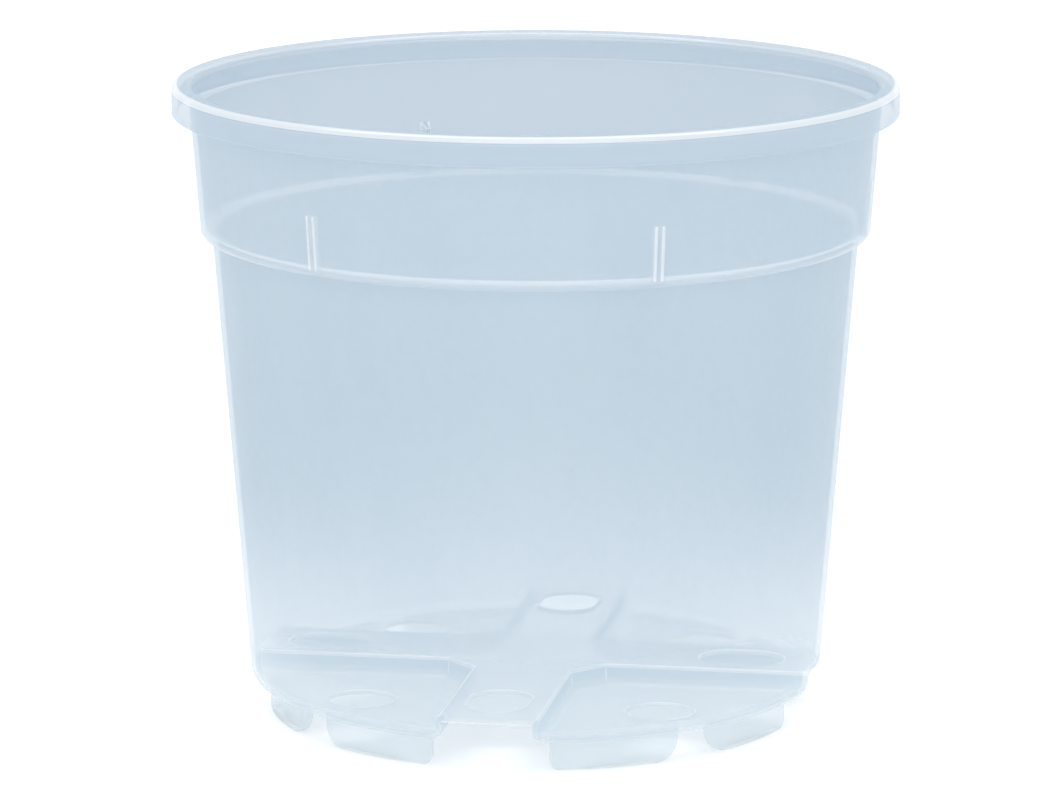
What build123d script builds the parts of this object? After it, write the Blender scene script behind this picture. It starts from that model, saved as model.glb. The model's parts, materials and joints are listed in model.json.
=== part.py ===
from build123d import *
import math
import os

os.makedirs("parts", exist_ok=True)

# Overall sizes of the pot, in millimetres, with the origin on the ground under its axis
rim_diameter = 130.0
pot_height = 114.4
wall = 0.9
draft_angle = 4.5

# Rim: a flat band that turns outwards and down into a short skirt
rim_overhang = 2.9
rim_web = 1.1
rim_skirt = 1.1
rim_skirt_depth = 5.4
rim_top_round = 1.0
rim_bottom_round = 0.3
rim_inner_round = 1.6
rim_throat_round = 0.7
rim_joint_drop = 4.0

# Ledge where the collar steps out from the tapered wall
ledge_under_height = 87.2
ledge_thickness = 1.2
collar_step = 2.0
ledge_round = 1.1

# Stacking ribs that stand on the ledge inside the collar
rib_count = 6
rib_width = 1.1
rib_depth = 1.3
rib_height = 9.4
rib_top_lead = 0.7

# Base: a cross of raised channels between four lower lobes
lobe_count = 4
lobe_clearance = 5.3
channel_rise = 3.6
floor_thickness = 0.9
channel_half_width = 8.0
riser = 1.0
lobe_chamfer = 6.0
lobe_corner_round = 1.4
lobe_edge_round = 2.4
heel_round = 2.7
riser_top_chamfer = 0.4
chamfer_taper = -45.0
mouth_edge_round = 0.6

# Drain openings, set in from the wall's inner face
drain_diameter = 12.0
drain_setback = 12.7
slot_width = 10.6
slot_length = 15.1
slot_margin = 5.4

# Feet: curved blades under each lobe, just inside the start of its rounded heel
foot_inset = 0.6
foot_thickness = 2.0
foot_channel_setback = 10.4
foot_gap = 6.7
foot_gap_round = 4.2
foot_channel_round = 1.8

# Heights and radii worked out from the sizes above
full_turn = 360.0
draft_slope = math.tan(math.radians(draft_angle))
rim_radius = rim_diameter / 2
lobe_floor_height = lobe_clearance + floor_thickness
channel_roof_height = lobe_clearance + channel_rise
cross_floor_height = channel_roof_height + floor_thickness
ledge_top_height = ledge_under_height + ledge_thickness
rim_joint_height = pot_height - rim_joint_drop
skirt_bottom_height = pot_height - rim_skirt_depth


def collar_outside(height):
    """Outer radius of the collar at a height, narrowing downwards from under the rim."""
    return rim_radius - rim_overhang - (pot_height - height) * draft_slope


def collar_inside(height):
    """Inner radius of the collar at a height."""
    return collar_outside(height) - wall


def wall_outside(height):
    """Outer radius of the tapered wall, which keeps the collar's draft one step further in."""
    return collar_outside(height) - collar_step


def wall_inside(height):
    """Inner radius of the tapered wall at a height."""
    return wall_outside(height) - wall


def finish(piece, name):
    """Name a finished piece and write it."""
    piece.part.label = name
    export_step(piece.part, f"parts/{name}.step")


# Space inside the wall, down to the underside of the lobes, which every base piece is trimmed to
heel_joint_radius = wall_outside(lobe_clearance) - heel_round
heel_inner_round = heel_round - wall

with BuildPart() as core:
    with BuildSketch(Plane.XZ) as core_profile:
        Polygon(
            (0, lobe_clearance),
            (heel_joint_radius, lobe_clearance),
            (heel_joint_radius, lobe_floor_height),
            (wall_inside(lobe_floor_height), lobe_floor_height),
            (wall_inside(ledge_under_height), ledge_under_height),
            (0, ledge_under_height),
            align=None,
        )
        inner_heel = (wall_inside(lobe_floor_height), lobe_floor_height)
        fillet(core_profile.vertices().sort_by_distance(inner_heel)[0], radius=heel_inner_round)
    revolve(axis=Axis.Z)

# Tapered side wall with its rounded heel, opened at the four channel mouths, whose lower corners
# carry the same rounding as the edges of the lobes beside them
mouth_flare = channel_half_width + lobe_edge_round
mouth_round_height = lobe_clearance + lobe_edge_round

with BuildPart() as side_wall:
    with BuildSketch(Plane.XZ) as wall_profile:
        Polygon(
            (0, lobe_clearance),
            (wall_outside(lobe_clearance), lobe_clearance),
            (wall_outside(ledge_under_height), ledge_under_height),
            (0, ledge_under_height),
            align=None,
        )
        outer_heel = (wall_outside(lobe_clearance), lobe_clearance)
        fillet(wall_profile.vertices().sort_by_distance(outer_heel)[0], radius=heel_round)
    revolve(axis=Axis.Z)
    add(core.part, mode=Mode.SUBTRACT)
    for mouth_plane in (Plane.XZ, Plane.YZ):
        with BuildSketch(mouth_plane):
            Polygon(
                (-mouth_flare, lobe_clearance),
                (-mouth_flare, 0),
                (mouth_flare, 0),
                (mouth_flare, lobe_clearance),
                (channel_half_width, mouth_round_height),
                (channel_half_width, channel_roof_height),
                (-channel_half_width, channel_roof_height),
                (-channel_half_width, mouth_round_height),
                align=None,
            )
            with Locations((mouth_flare, mouth_round_height), (-mouth_flare, mouth_round_height)):
                Circle(lobe_edge_round, mode=Mode.SUBTRACT)
        extrude(amount=rim_radius, both=True, mode=Mode.SUBTRACT)
    mouth_edges = side_wall.edges().filter_by_position(Axis.Z, channel_roof_height, channel_roof_height)
    fillet(mouth_edges.filter_by(GeomType.CIRCLE).group_by(SortBy.RADIUS)[-1], radius=mouth_edge_round)
finish(side_wall, "side_wall")

# Ledge: the ring that joins the wall's top to the foot of the collar
with BuildPart() as stacking_ledge:
    with BuildSketch(Plane.XZ) as ledge_profile:
        Polygon(
            (wall_inside(ledge_under_height), ledge_under_height),
            (collar_outside(ledge_under_height), ledge_under_height),
            (collar_outside(ledge_top_height), ledge_top_height),
            (wall_inside(ledge_under_height), ledge_top_height),
            align=None,
        )
        ledge_corner = (collar_outside(ledge_under_height), ledge_under_height)
        fillet(ledge_profile.vertices().sort_by_distance(ledge_corner)[0], radius=ledge_round)
    revolve(axis=Axis.Z)
finish(stacking_ledge, "stacking_ledge")

# Collar: the upper band of the wall, from the ledge to the rim
with BuildPart() as collar:
    with BuildSketch(Plane.XZ):
        Polygon(
            (collar_inside(ledge_top_height), ledge_top_height),
            (collar_outside(ledge_top_height), ledge_top_height),
            (collar_outside(rim_joint_height), rim_joint_height),
            (collar_inside(rim_joint_height), rim_joint_height),
            align=None,
        )
    revolve(axis=Axis.Z)
finish(collar, "collar")

# Rim: the collar's last millimetres, the flat web and the down-turned skirt
with BuildPart() as rim_lip:
    with BuildSketch(Plane.XZ) as rim_profile:
        web_under_height = pot_height - rim_web
        inner_top = (collar_inside(pot_height), pot_height)
        outer_top = (rim_radius, pot_height)
        outer_bottom = (rim_radius, skirt_bottom_height)
        skirt_bottom = (rim_radius - rim_skirt, skirt_bottom_height)
        skirt_throat = (rim_radius - rim_skirt, web_under_height)
        collar_throat = (collar_outside(web_under_height), web_under_height)
        Polygon(
            (collar_inside(rim_joint_height), rim_joint_height),
            inner_top,
            outer_top,
            outer_bottom,
            skirt_bottom,
            skirt_throat,
            collar_throat,
            (collar_outside(rim_joint_height), rim_joint_height),
            align=None,
        )
        for corner, corner_round in (
            (inner_top, rim_inner_round),
            (outer_top, rim_top_round),
            (outer_bottom, rim_bottom_round),
            (skirt_bottom, rim_bottom_round),
            (skirt_throat, rim_throat_round),
            (collar_throat, rim_throat_round),
        ):
            fillet(rim_profile.vertices().sort_by_distance(corner)[0], radius=corner_round)
    revolve(axis=Axis.Z)
finish(rim_lip, "rim_lip")

# Stacking rib: a small upright blade on the ledge, trimmed to the collar's inner face
with BuildPart() as rib_form:
    rib_foot = collar_inside(ledge_top_height) - rib_depth
    rib_top_height = ledge_top_height + rib_height
    with BuildSketch(Plane.XZ):
        Polygon(
            (rib_foot, ledge_top_height),
            (rim_radius, ledge_top_height),
            (rim_radius, rib_top_height),
            (collar_inside(rib_top_height), rib_top_height),
            (rib_foot, rib_top_height - rib_top_lead),
            align=None,
        )
    extrude(amount=rib_width / 2, both=True)
    with BuildSketch(Plane.XZ):
        Polygon(
            (0, ledge_top_height),
            (collar_inside(ledge_top_height), ledge_top_height),
            (collar_inside(rib_top_height), rib_top_height),
            (0, rib_top_height),
            align=None,
        )
    revolve(axis=Axis.Z, mode=Mode.INTERSECT)

for index in range(rib_count):
    with BuildPart() as stacking_rib:
        add(rib_form.part, rotation=(0, 0, index * full_turn / rib_count))
    finish(stacking_rib, f"stacking_rib_{index + 1}")

# Plan of one lobe, seen from above in the first quadrant, well past the wall
lobe_near = channel_half_width
lobe_far = rim_radius
lobe_plan_points = [
    (lobe_near + lobe_chamfer, lobe_near),
    (lobe_far, lobe_near),
    (lobe_far, lobe_far),
    (lobe_near, lobe_far),
    (lobe_near, lobe_near + lobe_chamfer),
]
drain_pitch_radius = wall_inside(lobe_floor_height) - drain_setback
drain_centre = drain_pitch_radius * math.sqrt(2) / 2

# Lobe: a shallow tray with its risers beside the channels and a drain hole in its floor
with BuildPart() as lobe_cavity:
    with BuildSketch(Plane.XY.offset(lobe_floor_height)) as cavity_plan:
        Polygon(*lobe_plan_points, align=None)
        fillet(cavity_plan.vertices(), radius=lobe_corner_round)
        offset(amount=-riser, mode=Mode.REPLACE)
    extrude(amount=channel_rise)
    fillet(lobe_cavity.edges().group_by(Axis.Z)[0], radius=lobe_edge_round - riser)
    with BuildSketch(Plane.XY.offset(cross_floor_height - riser_top_chamfer)):
        add(cavity_plan.sketch.face())
    extrude(amount=riser_top_chamfer, taper=chamfer_taper)

with BuildPart() as lobe_form:
    with BuildSketch(Plane.XY.offset(lobe_clearance)) as lobe_plan:
        Polygon(*lobe_plan_points, align=None)
        fillet(lobe_plan.vertices(), radius=lobe_corner_round)
    extrude(amount=cross_floor_height - lobe_clearance)
    fillet(lobe_form.edges().group_by(Axis.Z)[0], radius=lobe_edge_round)
    add(core.part, mode=Mode.INTERSECT)
    add(lobe_cavity.part, mode=Mode.SUBTRACT)
    with Locations((drain_centre, drain_centre, lobe_floor_height)):
        Hole(drain_diameter / 2)

for index in range(lobe_count):
    with BuildPart() as foot_lobe:
        add(lobe_form.part, rotation=(0, 0, index * full_turn / lobe_count))
    finish(foot_lobe, f"base_lobe_{index + 1}")

# Raised cross: the floor over the channels, with a drain slot in each arm
slot_far = wall_inside(channel_roof_height) - slot_margin
with BuildPart() as channel_floor:
    with BuildSketch(Plane.XY.offset(channel_roof_height)):
        Circle(rim_radius)
        with PolarLocations(0, lobe_count):
            add(lobe_plan.sketch.face(), mode=Mode.SUBTRACT)
        with PolarLocations(slot_far - slot_length / 2, lobe_count):
            SlotOverall(slot_length, slot_width, mode=Mode.SUBTRACT)
    extrude(amount=floor_thickness)
    add(core.part, mode=Mode.INTERSECT)
finish(channel_floor, "channel_floor")

# Foot: a curved blade under the lobe's edge, between the lobe's gap and the channel
foot_outer_radius = heel_joint_radius - foot_inset
with BuildPart() as foot_form:
    gap_shift = foot_gap * math.sqrt(2) / 2
    with BuildSketch():
        Circle(foot_outer_radius)
        Circle(foot_outer_radius - foot_thickness, mode=Mode.SUBTRACT)
        Polygon(
            (foot_channel_setback + gap_shift, foot_channel_setback),
            (lobe_far + gap_shift, foot_channel_setback),
            (lobe_far + gap_shift, lobe_far),
            align=None,
            mode=Mode.INTERSECT,
        )
    extrude(amount=lobe_clearance)
    ground_ends = foot_form.edges().group_by(Axis.Z)[0].filter_by(GeomType.LINE)
    fillet(ground_ends.filter_by(Axis.X), radius=foot_channel_round)
    ground_ends = foot_form.edges().group_by(Axis.Z)[0].filter_by(GeomType.LINE)
    fillet(ground_ends.sort_by(Axis.Y)[-1], radius=foot_gap_round)

# The other foot of the lobe is the same blade across the lobe's diagonal
with BuildPart() as foot_form_mirrored:
    mirror(foot_form.part, about=Plane(origin=(0, 0, 0), z_dir=(1, -1, 0)))

for index in range(lobe_count):
    for side, form in enumerate((foot_form, foot_form_mirrored)):
        with BuildPart() as foot:
            add(form.part, rotation=(0, 0, index * full_turn / lobe_count))
        finish(foot, f"foot_{2 * index + side + 1}")
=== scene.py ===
import json
import math

import bmesh
import bpy
from mathutils import Matrix, Vector

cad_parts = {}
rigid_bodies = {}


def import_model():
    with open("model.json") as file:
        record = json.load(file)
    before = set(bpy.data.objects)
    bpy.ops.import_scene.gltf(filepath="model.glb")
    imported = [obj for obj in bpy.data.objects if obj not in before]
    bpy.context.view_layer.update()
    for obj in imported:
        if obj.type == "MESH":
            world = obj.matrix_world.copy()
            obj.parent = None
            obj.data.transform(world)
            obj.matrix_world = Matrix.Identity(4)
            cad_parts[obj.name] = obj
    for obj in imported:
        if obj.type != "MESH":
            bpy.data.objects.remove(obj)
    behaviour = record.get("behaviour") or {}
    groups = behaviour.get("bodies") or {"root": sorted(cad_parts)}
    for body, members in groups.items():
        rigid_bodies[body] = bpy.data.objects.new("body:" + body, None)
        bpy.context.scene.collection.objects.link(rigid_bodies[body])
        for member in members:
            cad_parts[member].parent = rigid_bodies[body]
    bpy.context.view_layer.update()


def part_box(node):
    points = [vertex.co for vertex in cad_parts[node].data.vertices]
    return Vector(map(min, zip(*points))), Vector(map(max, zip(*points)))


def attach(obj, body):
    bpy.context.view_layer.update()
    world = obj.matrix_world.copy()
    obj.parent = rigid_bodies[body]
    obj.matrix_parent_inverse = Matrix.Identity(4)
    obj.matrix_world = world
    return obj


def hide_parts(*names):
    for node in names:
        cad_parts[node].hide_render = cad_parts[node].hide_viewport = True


for leftover in list(bpy.data.objects):
    bpy.data.objects.remove(leftover)

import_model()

MM = 0.001
FULL_TURN = 2 * math.pi
RIGHT_ANGLE = math.pi / 2

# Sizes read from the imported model
rim_low, rim_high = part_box("rim_lip")
rim_radius = rim_high.x
pot_top = rim_high.z
skirt_bottom = rim_low.z
collar_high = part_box("collar")[1]
ledge_low, ledge_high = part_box("stacking_ledge")
wall_low, wall_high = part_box("side_wall")
cross_low, cross_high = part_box("channel_floor")
lobe_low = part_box("base_lobe_1")[0]
rib_low, rib_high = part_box("stacking_rib_1")

draft = (collar_high.x - ledge_high.x) / (collar_high.z - ledge_high.z)
wall_thickness = cross_high.z - cross_low.z
collar_step = ledge_high.x - (wall_high.x + draft * (ledge_high.z - wall_high.z))
channel_half = lobe_low.x
lobe_under = wall_low.z
lobe_floor = lobe_under + wall_thickness
rib_width = rib_high.y - rib_low.y

# Roundings and small sizes of the moulding
heel_round = 2.7 * MM
heel_inner_round = heel_round - wall_thickness
ledge_round = 1.1 * MM
corner_fillet = 0.5 * MM
ledge_lip_round = 0.45 * MM
rim_web = 1.1 * MM
rim_top_round = 1.0 * MM
rim_inner_round = 1.6 * MM
rim_edge_round = 0.35 * MM
rim_throat_round = 0.7 * MM
riser = 1.0 * MM
riser_round = 0.6 * MM
lobe_edge_round = 2.4 * MM
riser_foot_round = lobe_edge_round - riser
lobe_chamfer = 6.0 * MM
lobe_corner_round = 1.4 * MM
mouth_round = 0.5 * MM
mouth_lead = 3.4 * MM
mouth_overrun = 5 * MM
least_round = 0.05 * MM
least_radius = least_round / 10
merge_distance = least_round / 50

# Drain holes, slots and the repeats round the pot
drain_radius = 6.0 * MM
drain_pitch = 38.0 * MM
slot_near = 30.4 * MM
slot_far = 45.5 * MM
slot_width = 10.6 * MM
hole_round = 0.4 * MM
lobe_count = 4
rib_count = 6

# Feet and ribs, whose roots are sunk into the moulding that carries them
foot_outer = 48.2 * MM
foot_thickness = 2.0 * MM
foot_setback = 10.4 * MM
foot_gap = 6.7 * MM
foot_gap_round = 4.2 * MM
foot_channel_round = 1.8 * MM
blade_edge_round = 0.3 * MM
rib_top_lead = 0.7 * MM
sunk = 0.45 * MM

# Colours of the milky plastic, with painted light and shade where marked. The outside lies between the first
# two, by how cloudy it is
outside_low = (0.72, 0.83, 0.91, 1)
outside_high = (0.77, 0.87, 0.94, 1)
# Painted light: towards the foot the outside lightens, as if lit from the pale floor below
outside_foot_lit = (0.78, 0.855, 0.905, 1)
rim_colour = (0.66, 0.75, 0.83, 1)
crest_colour = (0.50, 0.60, 0.69, 1)
# Painted shade: the inside is darker, as less light reaches in there
inside_shade_colour = (0.45, 0.56, 0.655, 1)
# Painted light: the floor plate is lifted near white against the shade under the pot
floor_plate_painted_light = (0.96, 0.985, 1.0, 1)
riser_colour = (0.75, 0.87, 0.95, 1)
# Painted light: the feet are lightened against the shade under the pot
foot_lit_colour = (0.785, 0.875, 0.935, 1)
# Near-white: the painted highlight on rounded edges, the ledge and its step, and the milk of the ribs
highlight_and_milk_white = (0.97, 0.985, 0.995, 1)

# Share of what is behind each surface that shows through it, and the tint that it takes on there
wall_clear = 0.52
base_clear = 0.76
floor_clear = 0.66
riser_clear = 0.42
rim_clear = 0.57
crest_clear = 0.45
# Rounded edges are nearly solid, so that their painted highlight shows
edge_highlight_clear = 0.06
wall_tint = (0.90, 0.915, 0.93, 1)
pale_tint = (0.97, 0.98, 0.985, 1)

# Share of the scattered light that passes on, and the extra milkiness and gloss of grazing views
passing_share = 0.40
edge_passing_share = 0.10
edge_passing_start = 0.3
grazing_milk = 0.15
grazing_milk_power = 4.0
face_gloss = 0.035
grazing_gloss = 0.18
grazing_gloss_power = 5.0
edge_gloss = 0.15
least_roughness = 0.16
most_roughness = 0.30

# Cloudiness and grain of the plastic
haze_scale = 45.0
haze_upright_share = 0.3
grain_scale = 620.0
grain_bump = 0.07
grain_depth = 0.02 * MM
grain_share = 0.35
mottle_start = 0.45
mottle_stop = 0.9

# Heights, and distances from the skirt's lower edge and the pot's top, over which the look fades
base_fade_top = 40 * MM
base_fade_foot = 3 * MM
wall_fade_top = 50 * MM
skirt_fade = 0.2 * MM
rim_fade_start = 0.1 * MM
rim_fade_stop = 0.6 * MM
crest_fade_start = 1.4 * MM
crest_fade_stop = 0.8 * MM

# Share of the painted shade on the inside that is left within the rim
rim_shade_share = 0.25

# White lines: painted highlights along the ledge and its step, and milk where a stacking rib thickens the
# collar
step_line_depth = 0.4 * MM
step_line_half = 0.2 * MM
step_highlight_strength = 0.4
ledge_line_depth = 0.1 * MM
ledge_line_half = 0.4 * MM
ledge_line_soft = 0.4 * MM
rib_line_share = 0.6
rib_line_half = 0.18 * MM
rib_line_soft = 0.25 * MM
rib_end_soft = 0.4 * MM
rib_line_white = 0.8

# How strongly rounded edges take gloss and a painted highlight, and how near to the rim, ledge and outside
# that holds
rim_edge_gloss_and_highlight = 0.9
outer_edge_gloss_and_highlight = 0.2
foot_edge_gloss_and_highlight = 0.25
rib_edge_gloss_and_highlight = 0.5
rib_milkiness = 0.3
rim_edge_zone = 2.4 * MM
rim_edge_lead = 0.3 * MM
rim_edge_ease = 0.5 * MM
ledge_edge_zone = 4 * MM
ledge_edge_depth = 0.45 * MM
outer_edge_depth = 0.7 * MM
underside_depth = 0.1 * MM

# What tells inside, level and upright faces apart, and the mark that a riser gets
inward_start = 0.2
inward_span = 0.5
level_least = 0.985
upward_least = 0.7
rim_shine_depth = 2 * MM
ledge_top_depth = 0.1 * MM
floor_zone = 0.4 * MM
floor_wall_gap = 1.6 * MM
riser_mark = 0.5
mark_soft = 0.2

# Mesh fineness
lathe_segments = 288
arc_steps = 6
edge_steps = 4
hole_segments = 64
foot_facet = 1.2 * MM
edge_bend_low = 0.25 / MM
edge_bend_high = 1.2 / MM
widest_edge_face = 1.5 * MM
long_edge_share = 0.3
crease_angle = math.radians(34)

# The camera, fitted to the photo's outlines, looks at the pot from a little above
camera_turn = Matrix.Rotation(math.radians(9.7), 4, "Z")
camera_elevation = math.radians(11.64)
camera_distance = 1.05
camera_aim = camera_turn @ Vector((-1.545 * MM, 0, 57.27 * MM))
sensor_width = 36.0
focal_pixels = 5814.5
frame_pixels = 1054

# Lamps, placed as seen from the camera's side, the surround and the pale floor
front_lamp_size = 2.0
front_lamp_power = 6.0
front_lamp_place = (0, -1.8, 1.25)
top_lamp_width = 2.2
top_lamp_depth = 0.4
top_lamp_power = 9.0
top_lamp_place = (0, 0.25, 1.75)
surround_level = 1.0
floor_grey = (0.88, 0.88, 0.88, 1)
floor_lift = 0.18
floor_reach = 4.0
see_through_layers = 24


def wall_outside(height):
    """Outer radius of the tapered wall."""
    return wall_high.x + draft * (height - wall_high.z)


def heel_outside(height):
    """Outer radius of the wall where its foot rounds in to the underside."""
    drop = max(lobe_under + heel_round - height, 0)
    drawn_in = heel_round - math.sqrt(max(heel_round ** 2 - drop ** 2, 0))
    return wall_outside(max(height, lobe_under)) - drawn_in


def collar_outside(height):
    """Outer radius of the collar."""
    return wall_outside(height) + collar_step


def collar_inside(height):
    """Inner radius of the collar."""
    return collar_outside(height) - wall_thickness


def rounded(corners):
    """A closed outline of (x, y) points whose corners, given as (x, y, radius), are turned into arcs."""
    outline = []
    count = len(corners)
    for index, (x, y, radius) in enumerate(corners):
        here = Vector((x, y))
        before = Vector(corners[index - 1][:2]) - here
        after = Vector(corners[(index + 1) % count][:2]) - here
        if radius <= 0:
            outline.append(tuple(here))
            continue
        before.normalize()
        after.normalize()
        half_angle = before.angle(after) / 2
        centre = here + (before + after).normalized() * radius / math.sin(half_angle)
        start = here + before * radius / math.tan(half_angle) - centre
        turn = start.angle_signed(here + after * radius / math.tan(half_angle) - centre)
        for step in range(arc_steps + 1):
            arm = Matrix.Rotation(-turn * step / arc_steps, 2) @ start
            outline.append(tuple(centre + arm))
    return outline


def divided(outline, counts):
    """The same closed outline with each side cut into as many steps as counts says."""
    points = []
    for start, end, count in zip(outline, outline[1:] + outline[:1], counts):
        points += [tuple(Vector(start).lerp(Vector(end), step / count)) for step in range(count)]
    return points


def mesh_object(name, vertices, faces):
    """A new object in the scene from plain vertices and faces, with its faces turned outwards."""
    mesh = bpy.data.meshes.new(name)
    mesh.from_pydata(vertices, [], faces)
    shape = bmesh.new()
    shape.from_mesh(mesh)
    bmesh.ops.recalc_face_normals(shape, faces=shape.faces)
    shape.to_mesh(mesh)
    shape.free()
    obj = bpy.data.objects.new(name, mesh)
    bpy.context.scene.collection.objects.link(obj)
    return obj


def lathe(name, profile):
    """A closed solid of revolution from (radius, height) points that start and end on the axis."""
    vertices, faces, rings = [], [], []
    for radius, height in profile:
        if radius < least_radius:
            rings.append([len(vertices)] * lathe_segments)
            vertices.append((0, 0, height))
            continue
        rings.append(list(range(len(vertices), len(vertices) + lathe_segments)))
        for step in range(lathe_segments):
            angle = FULL_TURN * step / lathe_segments
            vertices.append((radius * math.cos(angle), radius * math.sin(angle), height))
    for lower, upper in zip(rings, rings[1:]):
        for step in range(lathe_segments):
            following = (step + 1) % lathe_segments
            corners = [lower[step], lower[following], upper[following], upper[step]]
            faces.append(tuple(dict.fromkeys(corners)))
    return mesh_object(name, vertices, faces)


def loft(name, rings):
    """A closed solid through rings of as many points each, with a flat face on the first and the last."""
    vertices = [point for ring in rings for point in ring]
    count = len(rings[0])
    faces = [tuple(range(count)), tuple(range(len(vertices) - count, len(vertices)))]
    for base in range(0, len(vertices) - count, count):
        for step in range(count):
            following = (step + 1) % count
            faces.append((base + step, base + following, base + count + following, base + count + step))
    return mesh_object(name, vertices, faces)


def at_height(points, height):
    """A level ring from (x, y) points."""
    return [(x, y, height) for x, y in points]


def cut(target, tool):
    """Cuts tool out of target, and deletes tool."""
    modifier = target.modifiers.new("cut", "BOOLEAN")
    modifier.operation = "DIFFERENCE"
    modifier.object = tool
    modifier.solver = "EXACT"
    bpy.context.view_layer.objects.active = target
    with bpy.context.temp_override(object=target, active_object=target):
        bpy.ops.object.modifier_apply(modifier=modifier.name)
    bpy.data.objects.remove(tool)


def quarter_steps(steps=edge_steps):
    """Angles through a right angle."""
    return [RIGHT_ANGLE * step / steps for step in range(steps + 1)]


def edged_rings(outline, near, far, edge, flare, place=at_height):
    """Rings from one face of a plate to the other, which grow by flare times a quarter round at both."""
    rings = []
    for angle in quarter_steps():
        growth = flare * edge * (1 - math.sin(angle))
        rings.append(place(outline(growth), near + edge * (1 - math.cos(angle))))
    for angle in reversed(quarter_steps()):
        growth = flare * edge * (1 - math.sin(angle))
        rings.append(place(outline(growth), far - edge * (1 - math.cos(angle))))
    return rings


def cross_outline(growth):
    """Plan of the channels' cross, whose sides stand growth outside the channel's own sides."""
    half = channel_half + growth
    chamfer = lobe_chamfer - growth * (2 - math.sqrt(2))
    corner = max(lobe_corner_round - growth, least_round)
    corners = []
    for quarter in range(lobe_count):
        turn = Matrix.Rotation(quarter * RIGHT_ANGLE, 2)
        for x, y, radius in (
            (rim_radius, -half, 0),
            (rim_radius, half, 0),
            (half + chamfer, half, corner),
            (half, half + chamfer, corner),
        ):
            point = turn @ Vector((x, y))
            corners.append((point.x, point.y, radius))
    return rounded(corners)


def outer_form():
    """The pot's outside as a filled solid, from its underside to its rim."""
    web_under = pot_top - rim_web
    skirt_inner = rim_radius - rim_web
    corners = [
        (wall_outside(lobe_under), lobe_under, heel_round),
        (wall_outside(ledge_low.z), ledge_low.z, corner_fillet),
        (collar_outside(ledge_low.z), ledge_low.z, ledge_round),
        (collar_outside(web_under), web_under, rim_throat_round),
        (skirt_inner, web_under, rim_throat_round),
        (skirt_inner, skirt_bottom, rim_edge_round),
        (rim_radius, skirt_bottom, rim_edge_round),
        (rim_radius, pot_top, rim_top_round),
    ]
    return lathe("outer_form", rounded([(0, lobe_under, 0)] + corners + [(0, pot_top, 0)]))


def inner_form():
    """The space inside the pot as a filled solid, which runs out through the mouth."""
    above = pot_top + mouth_overrun
    corners = [
        (wall_outside(lobe_floor) - wall_thickness, lobe_floor, heel_inner_round),
        (wall_outside(ledge_high.z) - wall_thickness, ledge_high.z, ledge_lip_round),
        (collar_inside(ledge_high.z), ledge_high.z, corner_fillet),
        (collar_inside(pot_top), pot_top - least_round, rim_inner_round),
        (collar_inside(pot_top) + mouth_lead, pot_top + 2 * least_round, 0),
        (collar_inside(pot_top) + mouth_lead, above, 0),
    ]
    return lathe("inner_form", rounded([(0, lobe_floor, 0)] + corners + [(0, above, 0)]))


def channel_cutter():
    """The open channels under the floor, flared where they meet the rounded edges of the lobes."""
    rings = [at_height(cross_outline(lobe_edge_round), 0)]
    for angle in quarter_steps(arc_steps):
        growth = lobe_edge_round * (1 - math.sin(angle))
        rings.append(at_height(cross_outline(growth), lobe_under + lobe_edge_round * (1 - math.cos(angle))))
    rings.append(at_height(cross_outline(0), cross_low.z))
    return loft("channel_cutter", rings)


def channel_block():
    """The channels' roof and risers as a filled block, rounded at their foot and along their top edges."""
    rings = [at_height(cross_outline(riser + riser_foot_round), 0)]
    for angle in quarter_steps():
        growth = riser + riser_foot_round * (1 - math.sin(angle))
        rings.append(at_height(cross_outline(growth), lobe_floor + riser_foot_round * (1 - math.cos(angle))))
    for angle in quarter_steps():
        growth = riser - riser_round * (1 - math.cos(angle))
        rings.append(at_height(cross_outline(growth), cross_high.z - riser_round * (1 - math.sin(angle))))
    return loft("channel_block", rings)


def mouth_cutter(turn):
    """Rounds the outer edges of a channel's mouth, following the wall's curve and its rounded heel."""
    rotation = Matrix.Rotation(turn, 3, "Z")

    def opening(growth):
        half, roof = channel_half + growth, cross_low.z + growth
        corner = max(growth, least_round)
        centre = Vector((channel_half + lobe_edge_round, lobe_under + lobe_edge_round))
        side = [(centre.x, 0)]
        for angle in reversed(quarter_steps(arc_steps)):
            reach = lobe_edge_round - growth * math.cos(angle) ** 2 + least_round * math.sin(angle) ** 2
            side.append((centre.x - reach * math.cos(angle), centre.y - reach * math.sin(angle)))
        for angle in quarter_steps():
            side.append((half - corner * (1 - math.cos(angle)), roof - corner * (1 - math.sin(angle))))
        return side + [(-y, z) for y, z in reversed(side)]

    def flat_ring(growth, x):
        return [tuple(rotation @ Vector((x, y, z))) for y, z in opening(growth)]

    def sunk_ring(growth, depth):
        ring = []
        for y, z in opening(growth):
            x = math.sqrt((heel_outside(z) - depth) ** 2 - y ** 2)
            ring.append(tuple(rotation @ Vector((x, y, z))))
        return ring

    rings = [flat_ring(-mouth_round, foot_outer - heel_round)]
    for angle in reversed(quarter_steps(arc_steps)):
        growth = mouth_round * (1 - math.sin(angle)) - least_round
        rings.append(sunk_ring(growth, mouth_round * (1 - math.cos(angle))))
    rings.append(sunk_ring(2 * mouth_round, -mouth_round / 2))
    rings.append(flat_ring(2 * mouth_round, rim_radius))
    return loft("mouth_cutter", rings)


def hole_cutter(name, outline, under, top):
    """A cutter through a floor, flared at both faces so that the hole's edges come out rounded."""
    rings = edged_rings(outline, under, top, hole_round, 1)
    rings.insert(0, at_height(outline(2 * hole_round), under - hole_round))
    rings.append(at_height(outline(2 * hole_round), top + hole_round))
    return loft(name, rings)


def circle_outline(centre, radius):
    """A function that gives a circle's points at a growth."""
    def outline(growth):
        points = []
        for step in range(hole_segments):
            angle = FULL_TURN * step / hole_segments
            reach = radius + growth
            points.append((centre.x + reach * math.cos(angle), centre.y + reach * math.sin(angle)))
        return points
    return outline


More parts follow.
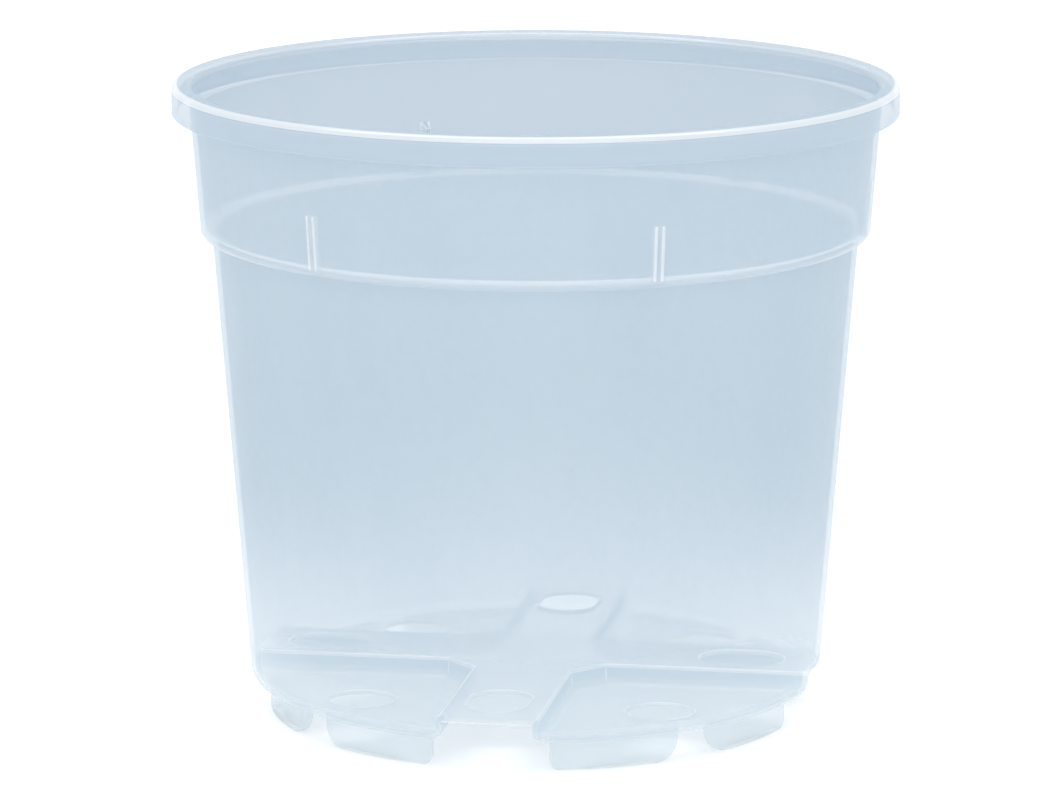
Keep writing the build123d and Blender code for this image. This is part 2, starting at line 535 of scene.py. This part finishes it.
def slot_outline(turn):
    """A function that gives a slot's points at a growth, turned about the pot's axis."""
    rotation = Matrix.Rotation(turn, 2)
    radius = slot_width / 2
    ends = (slot_near + radius, slot_far - radius)

    def outline(growth):
        points = []
        for step in range(hole_segments):
            angle = FULL_TURN * (step + 0.5) / hole_segments
            end = ends[1] if math.cos(angle) > 0 else ends[0]
            reach = radius + growth
            points.append(tuple(rotation @ Vector((end + reach * math.cos(angle), reach * math.sin(angle)))))
        return points
    return outline


def pot_shell():
    """The body of the moulding as one closed shell: rim, collar, ledge, wall, floor and lobes."""
    shell = outer_form()
    cut(shell, channel_cutter())
    hollow = inner_form()
    cut(hollow, channel_block())
    cut(shell, hollow)
    for index in range(lobe_count):
        angle = index * RIGHT_ANGLE + RIGHT_ANGLE / 2
        drain = circle_outline(Vector((math.cos(angle), math.sin(angle))) * drain_pitch, drain_radius)
        slot = slot_outline(index * RIGHT_ANGLE)
        cut(shell, hole_cutter("drain", drain, lobe_under, lobe_floor))
        cut(shell, hole_cutter("slot", slot, cross_low.z, cross_high.z))
        cut(shell, mouth_cutter(index * RIGHT_ANGLE))
    shell.name = "pot_shell"
    return shell


def foot_blade(name, turn, mirrored):
    """A curved foot blade with eased edges, rooted in the lobe above it."""
    foot_inner = foot_outer - foot_thickness
    middle = foot_outer - foot_thickness / 2
    root = lobe_under + sunk

    def ends(radius):
        return math.asin(foot_setback / radius), RIGHT_ANGLE / 2 - math.asin(foot_gap / 2 / radius)

    length = (ends(middle)[1] - ends(middle)[0]) * middle

    def edge(growth):
        return rounded([
            (-growth, root, 0),
            (-growth, -growth, foot_channel_round + growth),
            (length + growth, -growth, foot_gap_round + growth),
            (length + growth, root, 0),
        ])

    plain = edge(0)
    sides = zip(plain, plain[1:] + plain[:1])
    counts = [math.ceil(math.dist(start, end) / foot_facet) for start, end in sides]

    def outline(growth):
        return divided(edge(growth), counts)

    def place(points, radius):
        start, stop = ends(radius)
        ring = []
        for along, height in points:
            angle = start + (stop - start) * along / length
            if mirrored:
                angle = RIGHT_ANGLE - angle
            ring.append((radius * math.cos(angle + turn), radius * math.sin(angle + turn), height))
        return ring

    return loft(name, edged_rings(outline, foot_inner, foot_outer, blade_edge_round, -1, place))


def rib_blade(name, turn):
    """An upright stacking rib with eased edges, rooted in the ledge and the collar."""
    rotation = Matrix.Rotation(turn, 3, "Z")

    def outline(growth):
        return rounded([
            (rib_low.x - growth, ledge_high.z - sunk, 0),
            (collar_inside(ledge_high.z) + sunk, ledge_high.z - sunk, 0),
            (collar_inside(rib_high.z) + sunk, rib_high.z + growth, 0),
            (collar_inside(rib_high.z) + growth, rib_high.z + growth, blade_edge_round),
            (rib_low.x - growth, rib_high.z - rib_top_lead, blade_edge_round),
        ])

    def place(points, across):
        return [tuple(rotation @ Vector((radius, across, height))) for radius, height in points]

    half = rib_width / 2
    return loft(name, edged_rings(outline, -half, half, blade_edge_round, -1, place))


def smooth(obj):
    """Smooth shading with real creases kept sharp and flat faces kept flat."""
    shape = bmesh.new()
    shape.from_mesh(obj.data)
    bmesh.ops.remove_doubles(shape, verts=shape.verts, dist=merge_distance)
    for face in shape.faces:
        face.smooth = True
    for edge in shape.edges:
        edge.smooth = edge.is_manifold and edge.calc_face_angle() < crease_angle
    shape.to_mesh(obj.data)
    shape.free()
    weighted = obj.modifiers.new("flat_faces", "WEIGHTED_NORMAL")
    weighted.keep_sharp = True


def clamp(value):
    """The value, held between zero and one."""
    return min(max(value, 0.0), 1.0)


def bend(face):
    """The sharpest curvature across the long edges of a narrow face."""
    longest = max(edge.calc_length() for edge in face.edges)
    if face.calc_area() / longest > widest_edge_face:
        return 0
    sharpest = 0
    for edge in face.edges:
        length = edge.calc_length()
        if length < long_edge_share * longest or len(edge.link_faces) != 2:
            continue
        width = sum(side.calc_area() for side in edge.link_faces) / 2 / length
        sharpest = max(sharpest, edge.calc_face_angle() / width)
    return sharpest


def edge_gloss_and_highlight(radius, height):
    """How strongly a rounded edge of the shell takes gloss and a painted highlight, by where it is."""
    if height > pot_top - rim_edge_zone:
        return rim_edge_gloss_and_highlight * clamp((radius - rim_radius + rim_top_round + rim_edge_lead) / rim_edge_ease)
    if height > ledge_high.z + ledge_edge_zone:
        return 0.0
    if height > ledge_low.z - ledge_edge_zone:
        inside = radius < collar_outside(height) - ledge_edge_depth
        return 1.0 if inside and height > ledge_high.z - ledge_lip_round else outer_edge_gloss_and_highlight
    if radius > wall_outside(height) - outer_edge_depth or height < lobe_under + underside_depth:
        return outer_edge_gloss_and_highlight
    return 1.0


def face_marks(face):
    """A shell face's gloss and painted edge highlight, if it is inside, and if it is floor (one) or riser.
    """
    centre, normal = face.calc_center_median(), face.normal
    radius = math.hypot(centre.x, centre.y)
    inward = -(normal.x * centre.x + normal.y * centre.y) / max(radius, least_round)
    white = shine = edge_gloss_and_highlight(radius, centre.z)
    rounding = clamp((bend(face) - edge_bend_low) / (edge_bend_high - edge_bend_low))
    inside, floor = 0, 0
    within = collar_outside(centre.z) if centre.z > ledge_low.z + corner_fillet else wall_outside(centre.z)
    if radius < within - wall_thickness / 2:
        inside = clamp((inward - inward_start) / inward_span)
    if centre.z > pot_top - rim_shine_depth:
        shine = 0 if normal.z > level_least else 1
    # The ledge's top face takes the painted highlight and its gloss in full
    if abs(centre.z - ledge_high.z) < ledge_top_depth and normal.z > upward_least:
        rounding = 1
    if centre.z < cross_high.z + floor_zone and radius < wall_outside(centre.z) - floor_wall_gap:
        floor = 1 if abs(normal.z) > upward_least else riser_mark
    return rounding * shine, rounding * white, inside, floor


def blade_marks(strength):
    """The marks of a foot's or rib's face, whose rounded edges take gloss and a painted highlight at the
    given strength.
    """
    def marks(face):
        rounding = clamp((bend(face) - edge_bend_low) / (edge_bend_high - edge_bend_low))
        return rounding * strength, rounding * strength, 0, 0
    return marks


def mark_faces(obj, marks):
    """Writes the marks of each face as attributes that the plastic reads."""
    shape = bmesh.new()
    shape.from_mesh(obj.data)
    rows = [marks(face) for face in shape.faces]
    shape.free()
    # The edge mark carries the painted highlight on rounded edges, and round carries their gloss
    for name, values in zip(("round", "edge", "inside", "floor"), zip(*rows)):
        attribute = obj.data.attributes.new(name, "FLOAT", "FACE")
        attribute.data.foreach_set("value", [float(value) for value in values])


def feed(tree, socket, value):
    """Links an output to a socket, or sets the socket to a plain value."""
    if isinstance(value, bpy.types.NodeSocket):
        tree.links.new(value, socket)
    else:
        socket.default_value = value


def node(tree, kind, settings=(), **inputs):
    """A shader node with its settings and the values or links of its inputs."""
    made = tree.nodes.new(kind)
    for key, value in dict(settings).items():
        setattr(made, key, value)
    for key, value in inputs.items():
        feed(tree, made.inputs[key.replace("_", " ")], value)
    return made


def calculate(tree, operation, *values, clamped=False):
    """The result of a sum on outputs and plain numbers."""
    made = node(tree, "ShaderNodeMath", {"operation": operation, "use_clamp": clamped})
    for socket, value in zip(made.inputs, values):
        feed(tree, socket, value)
    return made.outputs["Value"]


def ramp(tree, value, start, stop, low=0.0, high=1.0, kind="SMOOTHSTEP"):
    """A value eased from low to high while another goes from start to stop."""
    made = node(tree, "ShaderNodeMapRange", {"interpolation_type": kind}, Value=value)
    for name, number in (("From Min", start), ("From Max", stop), ("To Min", low), ("To Max", high)):
        made.inputs[name].default_value = number
    return made.outputs["Result"]


def band(tree, value, middle, half, soft):
    """One within half of the middle, easing to zero over soft."""
    away = calculate(tree, "ABSOLUTE", calculate(tree, "SUBTRACT", value, middle))
    return ramp(tree, away, half + soft, half)


def blend(tree, factor, first, second):
    """A colour between two colours."""
    made = node(tree, "ShaderNodeMix", {"data_type": "RGBA"}, Factor=factor, A=first, B=second)
    return made.outputs["Result"]


def blend_shaders(tree, factor, first, second):
    """A surface between two surfaces."""
    made = tree.nodes.new("ShaderNodeMixShader")
    for socket, value in zip(made.inputs, (factor, first, second)):
        feed(tree, socket, value)
    return made.outputs["Shader"]


def face_mark(tree, name):
    """A value that mark_faces has written."""
    kind = {"attribute_name": name, "attribute_type": "GEOMETRY"}
    return node(tree, "ShaderNodeAttribute", kind).outputs["Fac"]


def new_material(name):
    """A material with an empty node tree, and that tree."""
    material = bpy.data.materials.new(name)
    material.use_nodes = True
    material.node_tree.nodes.clear()
    return material, material.node_tree


def rib_lines(tree, place, height):
    """Two upright lines on the collar where each stacking rib thickens it."""
    ground = node(tree, "ShaderNodeSeparateXYZ", Vector=place).outputs
    angle = calculate(tree, "ARCTAN2", ground["Y"], ground["X"])
    pitch = FULL_TURN / rib_count
    off = calculate(tree, "ABSOLUTE", calculate(tree, "WRAP", angle, pitch / 2, -pitch / 2))
    sideways = calculate(tree, "MULTIPLY", off, collar_inside(rib_high.z))
    lines = band(tree, sideways, rib_width * rib_line_share, rib_line_half, rib_line_soft)
    middle, half = (ledge_high.z + rib_high.z) / 2, (rib_high.z - ledge_high.z) / 2
    return calculate(tree, "MULTIPLY", lines, band(tree, height, middle, half, rib_end_soft))


def look_zones(tree, place, height):
    """How far the surface belongs to each zone of the moulding, from zero to one."""
    rim = ramp(tree, height, skirt_bottom + rim_fade_start, skirt_bottom + rim_fade_stop)
    inner = face_mark(tree, "inside")
    floor = face_mark(tree, "floor")
    # Painted shade on inside faces, fading out up the wall and mostly within the rim
    shaded = calculate(tree, "MULTIPLY", inner, ramp(tree, height, cross_high.z, wall_fade_top))
    # The step and ledge lines are painted highlights along the ledge's edges
    step = band(tree, height, ledge_high.z - step_line_depth, step_line_half, ledge_line_soft)
    ledge = band(tree, height, ledge_high.z - ledge_line_depth, ledge_line_half, ledge_line_soft)
    return {
        # Towards the foot the colour takes painted light and the tint turns paler
        "base": ramp(tree, height, base_fade_top, base_fade_foot),
        "skirt": ramp(tree, height, skirt_bottom - skirt_fade, skirt_bottom),
        "rim": rim,
        "crest": ramp(tree, height, pot_top - crest_fade_start, pot_top - crest_fade_stop),
        "shaded": calculate(tree, "MULTIPLY", shaded, ramp(tree, rim, 0, 1, 1, rim_shade_share)),
        "risers": band(tree, floor, riser_mark, mark_soft, mark_soft),
        # Painted light on the floor plate's level faces
        "flat": ramp(tree, floor, riser_mark + mark_soft, riser_mark + 2 * mark_soft),
        # Painted highlight on rounded edges
        "edge": face_mark(tree, "edge"),
        "step": calculate(tree, "MULTIPLY", step, step_highlight_strength),
        "ledge": calculate(tree, "MULTIPLY", inner, ledge),
        "ribs": calculate(tree, "MULTIPLY", rib_lines(tree, place, height), rib_line_white),
    }


def milk_colour(tree, zones, mottle, foot, milkiness):
    """The milk's colour in each zone: painted shade inside, painted light on the floor plate and towards the
    foot, and whitest along edges and lines, where edges, step and ledge are painted highlights.
    """
    colour = blend(tree, ramp(tree, mottle, mottle_start, mottle_stop), outside_low, outside_high)
    for zone, tone in (
        ("base", foot),
        ("skirt", rim_colour),
        ("shaded", inside_shade_colour),
        ("crest", crest_colour),
        ("risers", riser_colour),
        ("flat", floor_plate_painted_light),
    ):
        colour = blend(tree, zones[zone], colour, tone)
    white = milkiness
    for zone in ("edge", "step", "ledge", "ribs"):
        white = calculate(tree, "MAXIMUM", white, zones[zone])
    return blend(tree, white, colour, highlight_and_milk_white)


def milk_share(tree, zones, height, milkiness):
    """How much of the surface is milk, and not clear, in each zone."""
    def at_least(share, zone, clear):
        return calculate(tree, "MAXIMUM", share, calculate(tree, "MULTIPLY", zones[zone], 1 - clear))

    share = ramp(tree, height, cross_high.z, wall_fade_top, 1 - base_clear, 1 - wall_clear)
    share = at_least(share, "flat", floor_clear)
    share = at_least(share, "risers", riser_clear)
    share = calculate(tree, "MINIMUM", share, ramp(tree, zones["rim"], 0, 1, 1, 1 - rim_clear))
    share = at_least(share, "crest", crest_clear)
    # Rounded edges turn nearly solid so that their painted highlight shows
    share = at_least(share, "edge", edge_highlight_clear)
    # The ledge line turns solid so that its painted highlight shows
    share = calculate(tree, "MAXIMUM", share, zones["ledge"])
    return calculate(tree, "MAXIMUM", share, calculate(tree, "ADD", zones["ribs"], milkiness))


def polypropylene(name, foot=outside_foot_lit, milkiness=0.0):
    """Milky, slightly blue polypropylene, through which what is behind it shows, with painted light, shade
    and highlights in its colour.
    """
    material, tree = new_material(name)
    place = node(tree, "ShaderNodeTexCoord").outputs["Object"]
    height = node(tree, "ShaderNodeSeparateXYZ", Vector=place).outputs["Z"]
    flow = node(tree, "ShaderNodeMapping", Vector=place, Scale=(1, 1, haze_upright_share)).outputs["Vector"]
    haze = node(tree, "ShaderNodeTexNoise", Vector=flow, Scale=haze_scale, Detail=3.0).outputs["Fac"]
    grain = node(tree, "ShaderNodeTexNoise", Vector=place, Scale=grain_scale, Detail=2.0).outputs["Fac"]
    bump = node(tree, "ShaderNodeBump", Strength=grain_bump, Distance=grain_depth, Height=grain)
    normal = bump.outputs["Normal"]
    facing = node(tree, "ShaderNodeLayerWeight", Blend=0.5, Normal=normal).outputs["Facing"]

    zones = look_zones(tree, place, height)
    mottle = calculate(tree, "MULTIPLY_ADD", grain, grain_share, haze)
    colour = milk_colour(tree, zones, mottle, foot, milkiness)
    share = milk_share(tree, zones, height, milkiness)
    grazing = calculate(tree, "POWER", facing, grazing_milk_power)
    share = calculate(tree, "MULTIPLY_ADD", grazing, grazing_milk, share, clamped=True)

    tint = blend(tree, calculate(tree, "MAXIMUM", zones["base"], zones["rim"]), wall_tint, pale_tint)
    clear = node(tree, "ShaderNodeBsdfTransparent", Color=tint).outputs["BSDF"]
    bounced = node(tree, "ShaderNodeBsdfDiffuse", Color=colour, Normal=normal).outputs["BSDF"]
    passed = node(tree, "ShaderNodeBsdfTranslucent", Color=colour, Normal=normal).outputs["BSDF"]
    passing = ramp(tree, zones["edge"], edge_passing_start, 1, passing_share, edge_passing_share)
    body = blend_shaders(tree, share, clear, blend_shaders(tree, passing, bounced, passed))

    roughness = ramp(tree, haze, 0, 1, least_roughness, most_roughness, "LINEAR")
    sheen = node(tree, "ShaderNodeBsdfAnisotropic", Color=(1, 1, 1, 1), Roughness=roughness, Normal=normal)
    grazing = calculate(tree, "POWER", facing, grazing_gloss_power)
    gloss = calculate(tree, "MULTIPLY_ADD", grazing, grazing_gloss, face_gloss)
    gloss = calculate(tree, "MULTIPLY_ADD", face_mark(tree, "round"), edge_gloss, gloss)
    surface = blend_shaders(tree, gloss, body, sheen.outputs["BSDF"])
    node(tree, "ShaderNodeOutputMaterial", Surface=surface)
    return material


def seen_directly(tree):
    """One for camera, mirror and see-through rays, and zero for the light that falls on things."""
    rays = node(tree, "ShaderNodeLightPath").outputs
    glossy = calculate(tree, "MAXIMUM", rays["Is Camera Ray"], rays["Is Glossy Ray"])
    return calculate(tree, "MAXIMUM", glossy, rays["Is Transmission Ray"])


def studio_world():
    """A white surround that lights the pot at a plain level."""
    world = bpy.data.worlds.new("studio")
    world.use_nodes = True
    tree = world.node_tree
    tree.nodes.clear()
    background = node(tree, "ShaderNodeBackground", Color=(1, 1, 1, 1), Strength=surround_level)
    node(tree, "ShaderNodeOutputWorld", Surface=background.outputs["Background"])
    bpy.context.scene.world = world


def floor_material():
    """Pale matt floor that shows white where the light falls on it freely."""
    material, tree = new_material("floor_white")
    matt = node(tree, "ShaderNodeBsdfDiffuse", Color=floor_grey)
    glow = calculate(tree, "MULTIPLY", seen_directly(tree), floor_lift)
    lift = node(tree, "ShaderNodeEmission", Color=(1, 1, 1, 1), Strength=glow)
    both = node(tree, "ShaderNodeAddShader")
    for socket, part in zip(both.inputs, (matt, lift)):
        feed(tree, socket, part.outputs[0])
    node(tree, "ShaderNodeOutputMaterial", Surface=both.outputs[0])
    return material


def softbox(name, width, depth, power, place):
    """A rectangular area light, placed as seen from the camera's side, that faces the pot."""
    light = bpy.data.lights.new(name, "AREA")
    light.shape = "RECTANGLE"
    light.size = width
    light.size_y = depth
    light.energy = power
    obj = bpy.data.objects.new(name, light)
    obj.location = camera_turn @ Vector(place)
    obj.rotation_euler = (camera_aim - obj.location).to_track_quat("-Z", "Y").to_euler()
    bpy.context.scene.collection.objects.link(obj)


def photo_camera():
    """The camera at the photo's viewing angle."""
    lens = bpy.data.cameras.new("photo_camera")
    lens.sensor_width = sensor_width
    lens.sensor_fit = "HORIZONTAL"
    lens.lens = focal_pixels / frame_pixels * sensor_width
    camera = bpy.data.objects.new("photo_camera", lens)
    back = Vector((0, -math.cos(camera_elevation), math.sin(camera_elevation))) * camera_distance
    camera.location = camera_aim + camera_turn.to_3x3() @ back
    camera.rotation_euler = (RIGHT_ANGLE - camera_elevation, 0, camera_turn.to_euler().z)
    bpy.context.scene.collection.objects.link(camera)
    bpy.context.scene.camera = camera


def studio():
    """Floor, surround and soft lamps."""
    corners = [(-floor_reach, -floor_reach, 0), (floor_reach, -floor_reach, 0)]
    corners += [(floor_reach, floor_reach, 0), (-floor_reach, floor_reach, 0)]
    floor = mesh_object("studio_floor", corners, [(0, 1, 2, 3)])
    floor.data.materials.append(floor_material())
    studio_world()
    softbox("front_softbox", front_lamp_size, front_lamp_size, front_lamp_power, front_lamp_place)
    softbox("overhead_softbox", top_lamp_width, top_lamp_depth, top_lamp_power, top_lamp_place)
    bpy.context.scene.view_settings.view_transform = "Standard"
    bpy.context.scene.cycles.transparent_max_bounces = see_through_layers


plastic = polypropylene("polypropylene")
foot_plastic = polypropylene("polypropylene_foot", foot=foot_lit_colour)
rib_plastic = polypropylene("polypropylene_rib", milkiness=rib_milkiness)

shell = pot_shell()
smooth(shell)
mark_faces(shell, face_marks)
shell_regions = ["rim_lip", "collar", "stacking_ledge", "side_wall", "channel_floor"]
shell_regions += [f"base_lobe_{index + 1}" for index in range(lobe_count)]
pieces = [(shell, plastic, shell_regions)]
for index in range(lobe_count):
    for side in range(2):
        number = 2 * index + side + 1
        foot = foot_blade(f"foot_blade_{number}", index * RIGHT_ANGLE, side == 1)
        smooth(foot)
        mark_faces(foot, blade_marks(foot_edge_gloss_and_highlight))
        pieces.append((foot, foot_plastic, [f"foot_{number}"]))
for index in range(rib_count):
    rib = rib_blade(f"rib_blade_{index + 1}", index * FULL_TURN / rib_count)
    smooth(rib)
    mark_faces(rib, blade_marks(rib_edge_gloss_and_highlight))
    pieces.append((rib, rib_plastic, [f"stacking_rib_{index + 1}"]))

for piece, material, stands_for in pieces:
    piece.data.materials.append(material)
    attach(piece, "root")
    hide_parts(*stands_for)

photo_camera()
studio()
